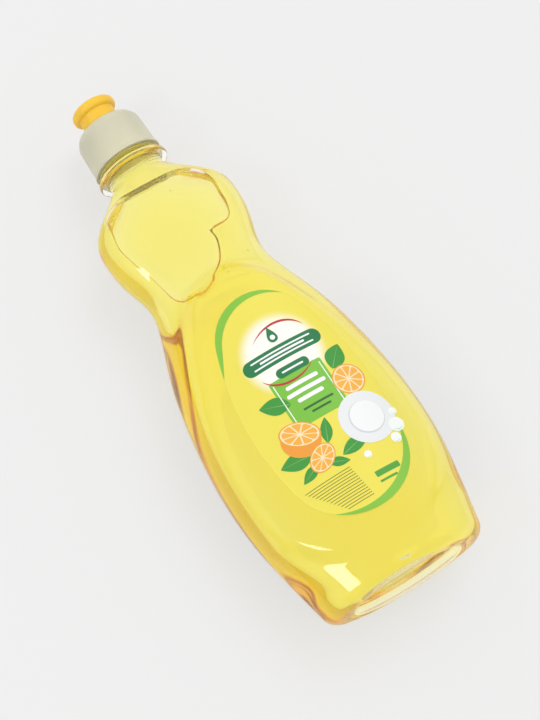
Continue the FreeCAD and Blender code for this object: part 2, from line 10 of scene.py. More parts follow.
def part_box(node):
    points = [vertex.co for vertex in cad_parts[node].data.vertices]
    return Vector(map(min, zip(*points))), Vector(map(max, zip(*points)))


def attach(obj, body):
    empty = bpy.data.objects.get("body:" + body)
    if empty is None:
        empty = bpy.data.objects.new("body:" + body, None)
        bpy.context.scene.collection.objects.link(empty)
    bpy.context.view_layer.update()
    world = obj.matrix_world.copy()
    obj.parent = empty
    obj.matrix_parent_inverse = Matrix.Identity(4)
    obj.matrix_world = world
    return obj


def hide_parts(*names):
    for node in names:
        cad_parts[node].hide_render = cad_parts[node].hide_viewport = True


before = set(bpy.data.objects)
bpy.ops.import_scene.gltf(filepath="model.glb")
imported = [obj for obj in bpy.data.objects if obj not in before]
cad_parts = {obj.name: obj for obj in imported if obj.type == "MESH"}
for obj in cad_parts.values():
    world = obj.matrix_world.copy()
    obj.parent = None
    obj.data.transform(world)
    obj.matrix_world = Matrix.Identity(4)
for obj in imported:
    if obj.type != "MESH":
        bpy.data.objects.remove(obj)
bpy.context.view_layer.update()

bl_info = {
    "name": "Dish Soap Bottle",
    "version": (1, 0, 0),
    "blender": (4, 5, 0),
    "location": "View3D > Sidebar > Soap Bottle",
    "description": "Builds a clear bottle of yellow dish soap with its label and push-pull cap",
    "category": "Object",
}

MM = 0.001
BOTTLE_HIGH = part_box("bottle")[1]
KNOB_LOW, KNOB_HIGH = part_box("pull_knob")

# The neck axis runs along Y at the middle of the knob. Lengths in the tables below
# are millimetres from the underside of the neck's support ring, as on a drawing.
NECK_TOP = 21.0
AXIS_Z = (KNOB_LOW.z + KNOB_HIGH.z) / 2
RING_Y = BOTTLE_HIGH.y - NECK_TOP * MM

# Cross-sections of the blown body: distance below the ring, half width, half depth
# and radius of the side.
SECTIONS = (
    (3.0, 12.7, 12.0, 10.0),
    (9.0, 18.4, 15.6, 12.6),
    (18.0, 28.6, 17.7, 13.5),
    (31.0, 32.6, 18.4, 14.0),
    (44.0, 31.0, 17.2, 13.2),
    (58.0, 27.6, 16.5, 13.0),
    (73.0, 30.6, 20.0, 16.0),
    (92.0, 37.2, 22.6, 17.0),
    (115.0, 42.2, 23.8, 17.2),
    (142.0, 45.2, 24.2, 17.2),
    (168.0, 44.6, 24.2, 17.0),
    (192.0, 40.8, 24.0, 16.5),
    (213.5, 36.4, 23.4, 16.0),
)
BODY_LENGTH = 213.5
HEEL_ROUND = 5.0
WALL = 0.5
BASE_WALL = 1.4
# Wall at the throat, the upper shoulder and the shoulder, in step with the sections.
THICK_WALLS = (1.9, 1.52, 1.0)
NECK_RADIUS = 12.85
BORE_RADIUS = 10.85

# Label panel: part of a large cylinder inside an egg-shaped outline.
PANEL_LEVEL = 24.9
PANEL_RADIUS = 74.0
# An egg is the centre and radius of its small end, of its large end and the flanks' radius.
PANEL_EGG = (89.0, 23.0, 161.5, 41.5, 150.0)
LABEL_EGG = (103.6, 22.0, 161.5, 26.0, 130.0)
# The label lies this far to the right of the panel's middle.
LABEL_SHIFT = 2.7
# Thickness of the film, how far its back lies over the panel and how round its edge is.
LABEL_FILM = 0.12
FILM_LIFT = 0.01
FILM_EDGE = 0.02
SOAP_TOP = 19.0
# The back lies flat at this level where it carries the bottle.
BEARING_LEVEL = 24.5
# Distances below the ring: where the throat has run out into the shoulder, and where
# the panels and the dimple may start. Then how round the throat and the dimple run out.
THROAT_END = 6.0
PANELS_START = 55.0
DIMPLE_START = 190.0
THROAT_ROUND = 0.6
DIMPLE_ROUND = 0.5
# The neck's profile starts at this place below the ring, and its bore has rows this far apart.
NECK_FOOT = -1.2
BORE_STEP = 1.5


def linear(hex_colour):
    """A colour written as sRGB hex, in linear light with full alpha."""
    parts = [int(hex_colour[i:i + 2], 16) / 255 for i in (0, 2, 4)]
    return tuple(p / 12.92 if p <= 0.04045 else ((p + 0.055) / 1.055) ** 2.4 for p in parts) + (1.0,)


def place(across, along, up):
    """A point given in millimetres from the ring on the neck axis, in the frame's metres."""
    return Vector((across * MM, RING_Y + along * MM, AXIS_Z + up * MM))


def smooth_table(rows, column):
    """A smooth curve through one column of a table, against its first column."""
    at = numpy.array([row[0] for row in rows])
    value = numpy.array([row[column] for row in rows])
    count, step = len(at), numpy.diff(at)
    system, right = numpy.eye(count), numpy.zeros(count)
    for i in range(1, count - 1):
        system[i, i - 1:i + 2] = step[i - 1], 2 * (step[i - 1] + step[i]), step[i]
        right[i] = 6 * ((value[i + 1] - value[i]) / step[i] - (value[i] - value[i - 1]) / step[i - 1])
    bend = numpy.linalg.solve(system, right)

    def curve(x):
        i = min(max(int(numpy.searchsorted(at, x)) - 1, 0), count - 2)
        left, ahead, width = x - at[i], at[i + 1] - x, step[i]
        return float((bend[i] * ahead ** 3 + bend[i + 1] * left ** 3) / (6 * width)
                     + (value[i] / width - bend[i] * width / 6) * ahead
                     + (value[i + 1] / width - bend[i + 1] * width / 6) * left)
    return curve


HALF_WIDTH, HALF_DEPTH, SIDE_RADIUS = (smooth_table(SECTIONS, column) for column in (1, 2, 3))


def soft_max(a, b, blend):
    """The larger of two, with the corner between them rounded over the blend."""
    return max(a, b) + max(blend - abs(a - b), 0.0) ** 2 / (4 * blend)


def soft_min(a, b, blend):
    """The smaller of two, with the corner between them rounded over the blend."""
    return -soft_max(-a, -b, blend)


def soft_step(value, start, end):
    """How far a value is from start to end, from 0 to 1, with a soft start and stop."""
    share = min(max((value - start) / (end - start), 0.0), 1.0)
    return share * share * (3 - 2 * share)


def oval_direction(half_width, half_depth, turn):
    """Unit direction from the middle of an oval to its side at a turn, as across and up."""
    across, up = half_width * math.cos(turn), half_depth * math.sin(turn)
    length = math.hypot(across, up)
    return across / length, up / length


def oval_reach(half_width, half_depth, side_radius, across, up):
    """How far an oval of four arcs reaches from its middle in a unit direction."""
    offset = half_width - side_radius
    drop = (offset ** 2 + half_depth ** 2 - side_radius ** 2) / (2 * (half_depth - side_radius)) - half_depth
    shift = offset * abs(across)
    reach = shift + math.sqrt(max(side_radius ** 2 - offset ** 2 + shift ** 2, 0.0))
    if reach * abs(across) >= offset + side_radius * offset / math.hypot(offset, drop):
        return reach
    shift = -drop * abs(up)
    return shift + math.sqrt((half_depth + drop) ** 2 - drop ** 2 + shift ** 2)


def egg_depth(egg, across, below, less=0.0):
    """How far a point lies inside an egg of tangent arcs. Negative outside."""
    top, top_radius, low, low_radius, side_radius = egg
    top_radius, low_radius, side_radius = top_radius - less, low_radius - less, side_radius - less
    to_top, to_low, apart = side_radius - top_radius, side_radius - low_radius, low - top
    rise = (to_top ** 2 - to_low ** 2 - apart ** 2) / (2 * apart)
    flank_across = math.sqrt(to_low ** 2 - rise ** 2)
    flank_below = low + rise
    x = abs(across) + flank_across
    bearing = math.atan2(flank_below - below, x)
    if bearing > math.atan2(flank_below - top, flank_across):
        return top_radius - math.hypot(across, below - top)
    if bearing < math.atan2(flank_below - low, flank_across):
        return low_radius - math.hypot(across, below - low)
    return side_radius - math.hypot(x, below - flank_below)


# The panel's rim lies this far inside its outline, and its wall falls by this slope.
# The wall is gentler than the drafted wall of the CAD, with round rims, as blown walls are.
PANEL_RIM = 2.4
PANEL_SLOPE = 1.25
PANEL_RIM_ROUND = 2.0
PANEL_FOOT_ROUND = 2.6


def panel_crest(across, wall):
    """Height over the axis of the cylinder that both panels follow, a wall's thickness inside it."""
    return PANEL_LEVEL - PANEL_RADIUS + math.sqrt((PANEL_RADIUS - wall) ** 2 - across ** 2)


def with_panel(up, across, below, wall):
    """Height of the wall over the axis where the label panel may stand proud of the oval."""
    crest = panel_crest(across, wall)
    inside = egg_depth(PANEL_EGG, across, below, wall)
    height = soft_min(crest, crest + (inside - PANEL_RIM) * PANEL_SLOPE, PANEL_RIM_ROUND)
    foot = PANEL_FOOT_ROUND * min(max(1.2 - inside / 6, 0.02), 1.0)
    return soft_max(up, height, foot)


# The back panel's wall rises in one soft sweep between these depths inside its outline.
BACK_SWEEP = (-1.5, 14.0)


def with_back_panel(up, across, below, wall):
    """Height of the back wall from the axis, where its panel swells out of the oval."""
    share = soft_step(egg_depth(PANEL_EGG, across, below, wall), *BACK_SWEEP)
    return up + max(panel_crest(across, wall) - up, 0.0) * share


# The locating dimple: half width, half length, depth and distance below the ring.
DIMPLE = (6.6, 4.2, 2.0, 206.9)


def dimple_height(across, below, wall):
    """Height of the locating dimple's floor in the front heel, or far above where there is none."""
    half_width, half_length, depth, middle = DIMPLE
    share = 1 - (across / (half_width + wall)) ** 2 - ((below - middle) / (half_length + wall)) ** 2
    if share <= 0:
        return 1000.0
    return HALF_DEPTH(BODY_LENGTH) + depth - (2 * depth + wall) * math.sqrt(share)


def wall_at(below):
    """Thickness of the wall at a distance below the ring."""
    table = list(zip((row[0] for row in SECTIONS), THICK_WALLS + (WALL,) * (len(SECTIONS) - 3)))
    for (start, first), (end, second) in zip(table, table[1:]):
        if below <= end:
            return first + (second - first) * soft_step(below, start, end)
    return WALL


def body_point(below, turn, inner, shrink=0.0):
    """A point of the blown body's outer or inner surface at a turn about the axis."""
    wall = (wall_at(below) if inner else 0.0) + shrink
    end = BODY_LENGTH - ((BASE_WALL + shrink) if inner else 0.0)
    heel = HEEL_ROUND - wall
    into_heel = min(max((below - end + heel) / heel, 0.0), 1.0)
    inset = wall + heel * (1 - math.sqrt(1 - into_heel ** 2))
    sizes = [max(curve(below) - inset, 1.0) for curve in (HALF_WIDTH, HALF_DEPTH, SIDE_RADIUS)]
    across, up = oval_direction(*sizes[:2], turn)
    reach = oval_reach(*sizes, across, up)
    if below < THROAT_END:
        neck = (BORE_RADIUS - shrink) if inner else NECK_RADIUS
        reach = soft_max(reach, neck, THROAT_ROUND)
    across, up = across * reach, up * reach
    if PANELS_START < below < BODY_LENGTH - HEEL_ROUND and abs(up) > 1.0:
        up = with_panel(up, across, below, wall) if up > 0 else -with_back_panel(-up, across, below, wall)
    up = max(up, wall - BEARING_LEVEL)
    if below > DIMPLE_START and up > 0:
        up = soft_min(up, dimple_height(across, below, wall), DIMPLE_ROUND)
    return across, -below, up


def turned_point(radius, along, turn):
    """A point at a turn on a circle about the neck axis."""
    return radius * math.cos(turn), along, radius * math.sin(turn)


def spaced(start, end, step):
    """Even steps from start to end, both included."""
    count = max(1, round(abs(end - start) / step))
    return [start + (end - start) * i / count for i in range(count + 1)]


def arc_points(centre_radius, centre_along, radius, start, end, steps=4):
    """Points of a quarter round on a turned profile, by angles in degrees."""
    angles = [math.radians(start + (end - start) * i / steps) for i in range(steps + 1)]
    return [(centre_radius + radius * math.cos(a), centre_along + radius * math.sin(a)) for a in angles]


def link(name, mesh):
    """A new object of the scene that shows a mesh."""
    piece = bpy.data.objects.new(name, mesh)
    bpy.context.scene.collection.objects.link(piece)
    return piece


def smooth_piece(name, bm):
    """A smooth-shaded piece from a mesh in the making, which is freed."""
    for face in bm.faces:
        face.smooth = True
    mesh = bpy.data.meshes.new(name)
    bm.to_mesh(mesh)
    bm.free()
    return link(name, mesh)


def surface_from_rows(name, rows, columns, wet_from=None):
    """A closed mesh from rows of points round the axis: a grid whose seam and poles are merged.

    Each row is a function from a turn in radians to a point in millimetres. Faces from
    the row wet_from on take the second material.
    """
    bm = bmesh.new()
    bmesh.ops.create_grid(bm, x_segments=columns, y_segments=len(rows) - 1, size=1.0)
    for face in bm.faces:
        row = (face.calc_center_median().y + 1) / 2 * (len(rows) - 1)
        face.material_index = 0 if wet_from is None else int(row > wet_from)
    for vertex in bm.verts:
        column = round((vertex.co.x + 1) / 2 * columns)
        row = round((vertex.co.y + 1) / 2 * (len(rows) - 1))
        vertex.co = place(*rows[row](2 * math.pi * column / columns))
    bmesh.ops.remove_doubles(bm, verts=bm.verts, dist=1e-7)
    bmesh.ops.recalc_face_normals(bm, faces=bm.faces)
    return smooth_piece(name, bm)


def oval_row(half_width, half_depth, side_radius, along):
    """A row on an oval of four arcs at one place along the axis."""
    def row(turn):
        across, up = oval_direction(half_width, half_depth, turn)
        reach = oval_reach(half_width, half_depth, side_radius, across, up)
        return across * reach, along, up * reach
    return row


def ring_row(radius, along):
    """A row on a circle about the neck axis."""
    return lambda turn: turned_point(radius, along, turn)


def body_row(below, inner, shrink=0.0):
    """A row of the blown body's outer or inner surface."""
    return lambda turn: body_point(below, turn, inner, shrink)


# Recess of the standing base: half width, half depth and side radius of its edge.
PUSH_UP = (25.5, 15.5, 12.0)
PUSH_UP_HEIGHT = 3.0
# The recess's wall from the rim inwards: how far in from its edge and how high.
PUSH_UP_WALL = ((-0.7, 0.0), (-0.1, 0.2), (0.35, 0.8), (0.8, 1.7), (1.3, 2.5), (2.0, 2.9), (3.4, 3.0))


def base_rows(inner, shrink=0.0):
    """Rows of the standing base from its middle outwards to the heel."""
    lift = (BASE_WALL + shrink) if inner else 0.0
    wall = (WALL + shrink) if inner else 0.0
    inmost = [size + wall - PUSH_UP_WALL[-1][0] for size in PUSH_UP]
    floor = -BODY_LENGTH + lift + PUSH_UP_HEIGHT
    rows = [ring_row(0.0, floor)]
    for share in (0.1, 0.3, 0.5, 0.7, 0.85, 0.95):
        rows.append(oval_row(*(size * share for size in inmost), floor))
    for inset, height in reversed(PUSH_UP_WALL):
        sizes = [size + wall - inset for size in PUSH_UP]
        rows.append(oval_row(*sizes, -BODY_LENGTH + lift + height))
    return rows


def side_places(end, heel):
    """Distances below the ring for the rows of the side, close together in the heel."""
    turn_steps = [end - heel * (1 - math.sin(math.radians(a))) for a in range(90, 0, -9)]
    return turn_steps + spaced(end - heel, 24.0, 1.25) + spaced(23.2, 2.0, 0.8)


# The neck's thread: where it starts and ends, its height over the root and its pitch.
# Then how far from each end its crest starts to rise, and over what length.
THREAD_SPAN = (6.2, 20.2)
THREAD_HEIGHT = 1.2
THREAD_PITCH = 3.18
THREAD_RUN_IN = (1.2, 1.6)


def thread_row(radius, along):
    """A row of the threaded neck, whose helical crest fades out at both ends."""
    start, end = THREAD_SPAN
    rest, rise = THREAD_RUN_IN

    def row(turn):
        phase = (along / THREAD_PITCH - turn / (2 * math.pi)) % 1.0
        crest = max(math.cos(2 * math.pi * (phase - 0.5)), 0.0) ** 0.7
        fade = min(max(min(along - start - rest, end - rest - along) / rise, 0.0), 1.0)
        return turned_point(radius + THREAD_HEIGHT * crest * fade, along, turn)
    return row


def neck_row(radius, along):
    """A row of the neck, threaded on its outside between the bead and the lip."""
    threaded = THREAD_SPAN[0] < along < THREAD_SPAN[1] and radius > BORE_RADIUS + 0.5
    return thread_row(radius, along) if threaded else ring_row(radius, along)


def neck_profile():
    """The moulded neck from under the support ring, over the lip and down the bore."""
    ring, height, root, bead = 16.5, 2.2, 12.45, 14.8
    points = [(NECK_RADIUS, NECK_FOOT), (NECK_RADIUS, -0.7)]
    points += arc_points(NECK_RADIUS + 0.5, -0.5, 0.5, 180, 90)
    points += [(14.4, 0.0)]
    points += arc_points(ring - 0.7, 0.7, 0.7, -90, 0) + arc_points(ring - 0.7, height - 0.7, 0.7, 0, 90)
    points += [(14.2, height)]
    points += arc_points(root + 0.4, height + 0.4, 0.4, -90, -180)
    points += arc_points(root + 0.25, 2.85, 0.25, 180, 90)
    points += [(13.6, 3.1)]
    points += arc_points(bead - 0.7, 3.8, 0.7, -90, 0) + arc_points(bead - 0.7, 4.2, 0.7, 0, 90)
    points += [(13.6, 4.9)]
    points += arc_points(root + 0.4, 5.3, 0.4, -90, -180)
    points += [(root, along) for along in spaced(*THREAD_SPAN, 0.35)]
    points += arc_points(root - 0.6, NECK_TOP - 0.6, 0.6, 0, 90)
    points += arc_points(BORE_RADIUS + 0.3, NECK_TOP - 0.3, 0.3, 90, 180)
    points += [(BORE_RADIUS, 19.8)]
    points += [(BORE_RADIUS, along) for along in spaced(SOAP_TOP, NECK_FOOT, BORE_STEP)]
    return points


def node(tree, kind, links=(), **settings):
    """Add a node, set its properties and sockets by name, and link sockets into it."""
    made = tree.nodes.new(kind)
    for name, value in settings.items():
        if hasattr(made, name):
            setattr(made, name, value)
        else:
            made.inputs[name.replace("_", " ")].default_value = value
    for socket, source in links:
        tree.links.new(source, made.inputs[socket])
    return made


def new_material(name):
    """A material with an empty tree but for its output."""
    material = bpy.data.materials.new(name)
    material.use_nodes = True
    material.node_tree.nodes.clear()
    output = material.node_tree.nodes.new("ShaderNodeOutputMaterial")
    return material, material.node_tree, output


def principled(tree, **sockets):
    """Add a Principled shader and set its sockets by name."""
    shader = tree.nodes.new("ShaderNodeBsdfPrincipled")
    for name, value in sockets.items():
        shader.inputs[name.replace("_", " ")].default_value = value
    return shader


def let_lamps_through(tree, output, shader, tint):
    """Clear matter that lamps shine through: shadow rays pass it with its tint."""
    path = tree.nodes.new("ShaderNodeLightPath")
    clear = node(tree, "ShaderNodeBsdfTransparent", Color=tint)
    mix = node(tree, "ShaderNodeMixShader", links=[(0, path.outputs["Is Shadow Ray"]),
                                                   (1, shader.outputs[0]), (2, clear.outputs[0])])
    tree.links.new(mix.outputs[0], output.inputs["Surface"])


def moulding_bump(tree, shader, size_mm, depth_mm, detail=2.0):
    """Soft unevenness of a moulded surface, of a real size and depth."""
    where = tree.nodes.new("ShaderNodeTexCoord")
    pattern = node(tree, "ShaderNodeTexNoise", links=[("Vector", where.outputs["Object"])],
                   Scale=1 / (size_mm * MM), Detail=detail)
    bump = node(tree, "ShaderNodeBump", links=[("Height", pattern.outputs["Fac"])],
                Strength=1.0, Distance=depth_mm * MM)
    tree.links.new(bump.outputs["Normal"], shader.inputs["Normal"])


def clear_pet():
    """Blow-moulded clear polyester: colourless, glossy, faintly uneven from the mould."""
    material, tree, output = new_material("blown_clear_pet")
    shader = principled(tree, Base_Color=linear("FEFEFC"), Roughness=0.03, IOR=1.5, Transmission_Weight=1.0)
    moulding_bump(tree, shader, 24.0, 0.05)
    let_lamps_through(tree, output, shader, linear("FDFDFB"))
    return material


def wet_pet():
    """The wall's wet side: soap lies against it, so it bends light and mirrors next to nothing."""
    material, tree, output = new_material("wetted_clear_pet")
    shader = principled(tree, Base_Color=linear("FFFFFF"), Roughness=0.03, IOR=1.5, Transmission_Weight=1.0,
                        Specular_Tint=linear("1A1A1A"))
    moulding_bump(tree, shader, 24.0, 0.05)
    let_lamps_through(tree, output, shader, linear("FDFDFB"))
    return material


def yellow_soap():
    """Clear liquid soap dyed yellow: thin films look pale, deep ones amber."""
    material, tree, output = new_material("clear_yellow_soap")
    shader = principled(tree, Base_Color=linear("FFFFFF"), Roughness=0.0, IOR=1.36, Transmission_Weight=1.0,
                        Specular_Tint=linear("505050"))
    let_lamps_through(tree, output, shader, linear("ECE2C0"))
    depth = node(tree, "ShaderNodeVolumeAbsorption", Color=(0.998, 0.945, 0.035, 1.0), Density=62.0)
    tree.links.new(depth.outputs[0], output.inputs["Volume"])
    return material


def frosted_pp():
    """Natural polypropylene, injection moulded with a fine frosted face: milky, lets light through."""
    material, tree, output = new_material("frosted_natural_pp")
    shader = principled(tree, Base_Color=linear("F6F3DC"), Roughness=0.34, IOR=1.49, Transmission_Weight=0.46)
    moulding_bump(tree, shader, 3.0, 0.02)
    let_lamps_through(tree, output, shader, linear("ECEAE0"))
    return material


def orange_pe():
    """Polyethylene dyed orange, injection moulded with a satin face."""
    material, tree, output = new_material("orange_moulded_pe")
    shader = principled(tree, Base_Color=linear("FFCC3A"), Roughness=0.38, IOR=1.51,
                        Subsurface_Weight=0.25, Subsurface_Scale=0.002)
    moulding_bump(tree, shader, 2.0, 0.015)
    tree.links.new(shader.outputs[0], output.inputs["Surface"])
    return material


def white_foam():
    """Foamed polyethylene liner: white, matt and finely cellular."""
    material, tree, output = new_material("foamed_pe_liner")
    shader = principled(tree, Base_Color=linear("F0F0EC"), Roughness=0.8)
    moulding_bump(tree, shader, 0.4, 0.05, 4.0)
    tree.links.new(shader.outputs[0], output.inputs["Surface"])
    return material


def printed_film():
    """Polypropylene label film printed yellow, with a smooth satin face."""
    material, tree, output = new_material("printed_yellow_film")
    shader = principled(tree, Roughness=0.34, IOR=1.49)
    where = tree.nodes.new("ShaderNodeTexCoord")
    reach = node(tree, "ShaderNodeVectorMath", links=[(0, where.outputs["Object"])], operation="DISTANCE")
    reach.inputs[1].default_value = place(*GLOW_MIDDLE, PANEL_LEVEL)
    fade = node(tree, "ShaderNodeMapRange", links=[("Value", reach.outputs["Value"])],
                interpolation_type="SMOOTHSTEP", From_Min=GLOW_REACH[0] * MM, From_Max=GLOW_REACH[1] * MM)
    colour = node(tree, "ShaderNodeMix", links=[("Factor", fade.outputs["Result"])], data_type="RGBA")
    colour.inputs["A"].default_value = linear("FFFEF4")
    colour.inputs["B"].default_value = linear("F1E35A")
    tree.links.new(colour.outputs["Result"], shader.inputs["Base Color"])
    moulding_bump(tree, shader, 9.0, 0.01)
    tree.links.new(shader.outputs[0], output.inputs["Surface"])
    return material


def ink(name, hex_colour):
    """Gravure ink on the film: opaque, a touch glossier than the film round it."""
    material, tree, output = new_material(name + "_ink")
    shader = principled(tree, Base_Color=linear(hex_colour), Roughness=0.3, IOR=1.5)
    moulding_bump(tree, shader, 9.0, 0.01)
    tree.links.new(shader.outputs[0], output.inputs["Surface"])
    return material


def dress(piece, body, material, replaced=()):
    """Give a piece its material and its body, and hide the nodes it stands for."""
    piece.data.materials.clear()
    piece.data.materials.append(material)
    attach(piece, body)
    if replaced:
        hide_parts(*replaced)


class SoapBottleSizes(bpy.types.PropertyGroup):
    columns: IntProperty(name="Columns", description="Faces round the blown body", default=160, min=32)
    soap_wetting: FloatProperty(name="Soap wetting", description="How far the soap's surface lies in the wall",
                                default=0.08 * MM, unit="LENGTH")
    bubble_film: FloatProperty(name="Bubble film", description="Soap between the bubble and the wall",
                               default=0.45 * MM, unit="LENGTH")


class SoapBottleColours(bpy.types.PropertyGroup):
    floor: FloatVectorProperty(name="Floor", description="Colour of the floor", subtype="COLOR", size=4,
                               default=linear("EFEFEF"))


class OBJECT_OT_soap_bottle_body(bpy.types.Operator):
    """Build the blown bottle with its neck as one closed wall"""
    bl_idname = "object.soap_bottle_body"
    bl_label = "Bottle"

    def execute(self, context):
        sizes = context.scene.soap_bottle_sizes
        rows = base_rows(False)
        rows += [body_row(below, False) for below in side_places(BODY_LENGTH, HEEL_ROUND)]
        rows += [neck_row(radius, along) for radius, along in neck_profile()]
        wet_from = len(rows) - len(spaced(SOAP_TOP, NECK_FOOT, BORE_STEP))
        inner_heel = HEEL_ROUND - WALL
        inner = [body_row(below, True) for below in side_places(BODY_LENGTH - BASE_WALL, inner_heel)]
        rows += reversed(base_rows(True) + inner)
        piece = surface_from_rows("bottle_shell", rows, sizes.columns, wet_from)
        dress(piece, "bottle", clear_pet(), ["bottle"])
        piece.data.materials.append(wet_pet())
        return {"FINISHED"}


# Outline of the air bubble seen from the front, as reach from its middle at even
# turns from the right side anticlockwise, its middle and the level of the soap under it.
BUBBLE_REACH = (24.1, 25.5, 28.7, 30.0, 28.1, 25.8, 25.1, 26.3, 29.3, 30.4, 27.2, 25.4,
                23.4, 22.7, 23.2, 26.3, 32.4, 34.6, 31.3, 25.2, 20.7, 17.4, 14.9, 21.9)
BUBBLE_MIDDLE = (-1.0, -38.0)
BUBBLE_LEVEL = 8.5
# Radius by which its rim rounds over under the wall.
BUBBLE_RIM = 4.4
# Small bubbles under the wall: across, along and radius.
SMALL_BUBBLES = ((13.6, -15.0, 0.75), (17.0, -19.0, 0.5), (-22.5, -19.5, 0.8), (-20.2, -18.3, 0.5),
                 (5.0, -22.5, 0.3), (4.6, -69.5, 0.35), (19.0, -61.0, 0.3))


def bubble_outline(turn):
    """Reach of the bubble's outline at a turn, smooth between the measured ones."""
    count = len(BUBBLE_REACH)
    position = (turn / (2 * math.pi) % 1.0) * count
    index, share = int(position), position % 1.0
    before, start, end, after = (BUBBLE_REACH[(index + k) % count] for k in (-1, 0, 1, 2))
    return 0.5 * (2 * start + (end - before) * share
                  + (2 * before - 5 * start + 4 * end - after) * share ** 2
                  + (3 * start - before - 3 * end + after) * share ** 3)


def front_wall(across, below, shrink):
    """Height of the wall's inner face over the axis on the front, by stepping round it."""
    low, high = 0.0, math.pi / 2
    for _ in range(22):
        middle = (low + high) / 2
        if body_point(below, middle, True, shrink)[0] > abs(across):
            low = middle
        else:
            high = middle
    return body_point(below, (low + high) / 2, True, shrink)[2]


def add_bubbles(bm, film):
    """The large bubble, flat over the soap and round under the wall, and the small ones."""
    made = bmesh.ops.create_uvsphere(bm, u_segments=120, v_segments=40, radius=1.0)
    for vertex in made["verts"]:
        ball = vertex.co.copy()
        flat = math.hypot(ball.x, ball.y)
        tilt = math.atan2(abs(ball.z), flat)
        turn = math.atan2(ball.y, ball.x)
        round_turn = min(2 * tilt, math.pi / 2)
        inner_reach = (bubble_outline(turn) - BUBBLE_RIM) * min(2 - 4 * tilt / math.pi, 1.0)
        reach = max(inner_reach, 0.0) + BUBBLE_RIM * math.cos(round_turn)
        across = BUBBLE_MIDDLE[0] + reach * math.cos(turn)
        along = BUBBLE_MIDDLE[1] + reach * math.sin(turn)
        top = front_wall(across, -along, film)
        half = max(top - BUBBLE_LEVEL, 1.0) / 2
        rise = math.copysign(math.sin(round_turn), ball.z)
        vertex.co = place(across, along, top - half + half * rise)
    for across, along, radius in SMALL_BUBBLES:
        up = front_wall(across, -along, 0.25 + radius)
        bmesh.ops.create_icosphere(bm, subdivisions=3, radius=radius * MM,
                                   matrix=Matrix.Translation(place(across, along, up)))


class OBJECT_OT_soap_bottle_soap(bpy.types.Operator):
    """Build the soap that fills the bottle, with its air bubble"""
    bl_idname = "object.soap_bottle_soap"
    bl_label = "Soap"

    def execute(self, context):
        sizes = context.scene.soap_bottle_sizes
        gap = -sizes.soap_wetting / MM
        rows = base_rows(True, gap)
        end = BODY_LENGTH - BASE_WALL - gap
        rows += [body_row(below, True, gap) for below in side_places(end, HEEL_ROUND - WALL - gap)]
        rows += [ring_row(BORE_RADIUS - gap, along) for along in spaced(NECK_FOOT, SOAP_TOP, BORE_STEP)]
        rows += [ring_row((BORE_RADIUS - gap) * share, SOAP_TOP) for share in (0.97, 0.7, 0.35, 0.0)]
        piece = surface_from_rows("soap_fill", rows, sizes.columns)
        bm = bmesh.new()
        bm.from_mesh(piece.data)
        inside = bmesh.new()
        add_bubbles(inside, sizes.bubble_film / MM)
        bmesh.ops.remove_doubles(inside, verts=inside.verts, dist=1e-7)
        bmesh.ops.recalc_face_normals(inside, faces=inside.faces)
        bmesh.ops.reverse_faces(inside, faces=inside.faces)
        for face in inside.faces:
            face.smooth = True
        bubble_mesh = bpy.data.meshes.new("bubble")
        inside.to_mesh(bubble_mesh)
        inside.free()
        bm.from_mesh(bubble_mesh)
        bpy.data.meshes.remove(bubble_mesh)
        bm.to_mesh(piece.data)
        bm.free()
        dress(piece, "bottle", yellow_soap(), ["dish_soap"])
        return {"FINISHED"}


def label_point(across, along, layer):
    """A point over the label panel's cylinder, raised by a layer in millimetres."""
    return across, along, panel_crest(across, -layer)


# Middle of the label, from which its outline is measured.
LABEL_MIDDLE = 135.0


def label_edge(turn, inset=0.0):
    """A point of the label's outline at a turn about its middle, drawn in by the inset."""
    low, high = 0.0, 200.0
    for _ in range(28):
        reach = (low + high) / 2
        if egg_depth(LABEL_EGG, reach * math.cos(turn), LABEL_MIDDLE - reach * math.sin(turn)) > inset:
            low = reach
        else:
            high = reach
    return LABEL_SHIFT + low * math.cos(turn), -LABEL_MIDDLE + low * math.sin(turn)


class OBJECT_OT_soap_bottle_label(bpy.types.Operator):
    """Build the printed film label on the front panel"""
    bl_idname = "object.soap_bottle_label"
    bl_label = "Label"

    def execute(self, context):
        edge = {}

        def film_row(share, layer):
            def row(turn):
                if turn not in edge:
                    edge[turn] = label_edge(turn)
                across, along = edge[turn]
                return label_point(LABEL_SHIFT + (across - LABEL_SHIFT) * share,
                                   -LABEL_MIDDLE + (along + LABEL_MIDDLE) * share, layer)
            return row
        shares = [i / 30 for i in range(30)] + [0.995]
        rows = [film_row(share, FILM_LIFT) for share in shares]
        rows += [film_row(1.0, FILM_LIFT + FILM_EDGE), film_row(1.0, LABEL_FILM - FILM_EDGE)]
        rows += [film_row(share, LABEL_FILM) for share in reversed(shares)]
        piece = surface_from_rows("label_film", rows, 144)
        dress(piece, "bottle", printed_film(), ["front_label"])
        return {"FINISHED"}


# The white glow behind the emblem: its middle, and where it starts and ends to fade.
GLOW_MIDDLE = (4.2, -112.1)
GLOW_REACH = (13.0, 19.5)


def bar(across, along, width, height, corner=0.3):
    """Outline of a bar with round corners."""
    points = []
    for start, side, top in ((0, 1, 1), (90, -1, 1), (180, -1, -1), (270, 1, -1)):
        x, y = across + side * (width / 2 - corner), along + top * (height / 2 - corner)
        points += [(x + corner * math.cos(math.radians(start + k * 18)),
                    y + corner * math.sin(math.radians(start + k * 18))) for k in range(6)]
    return points


def drop(across, along, height, width, count=44):
    """Outline of a falling drop, its tip up."""
    angles = [2 * math.pi * (i + 0.5) / count for i in range(count)]
    return [(across + width * 0.66 * math.sin(a) * math.sin(a / 2) ** 1.6,
             along + height / 2 * math.cos(a)) for a in angles]


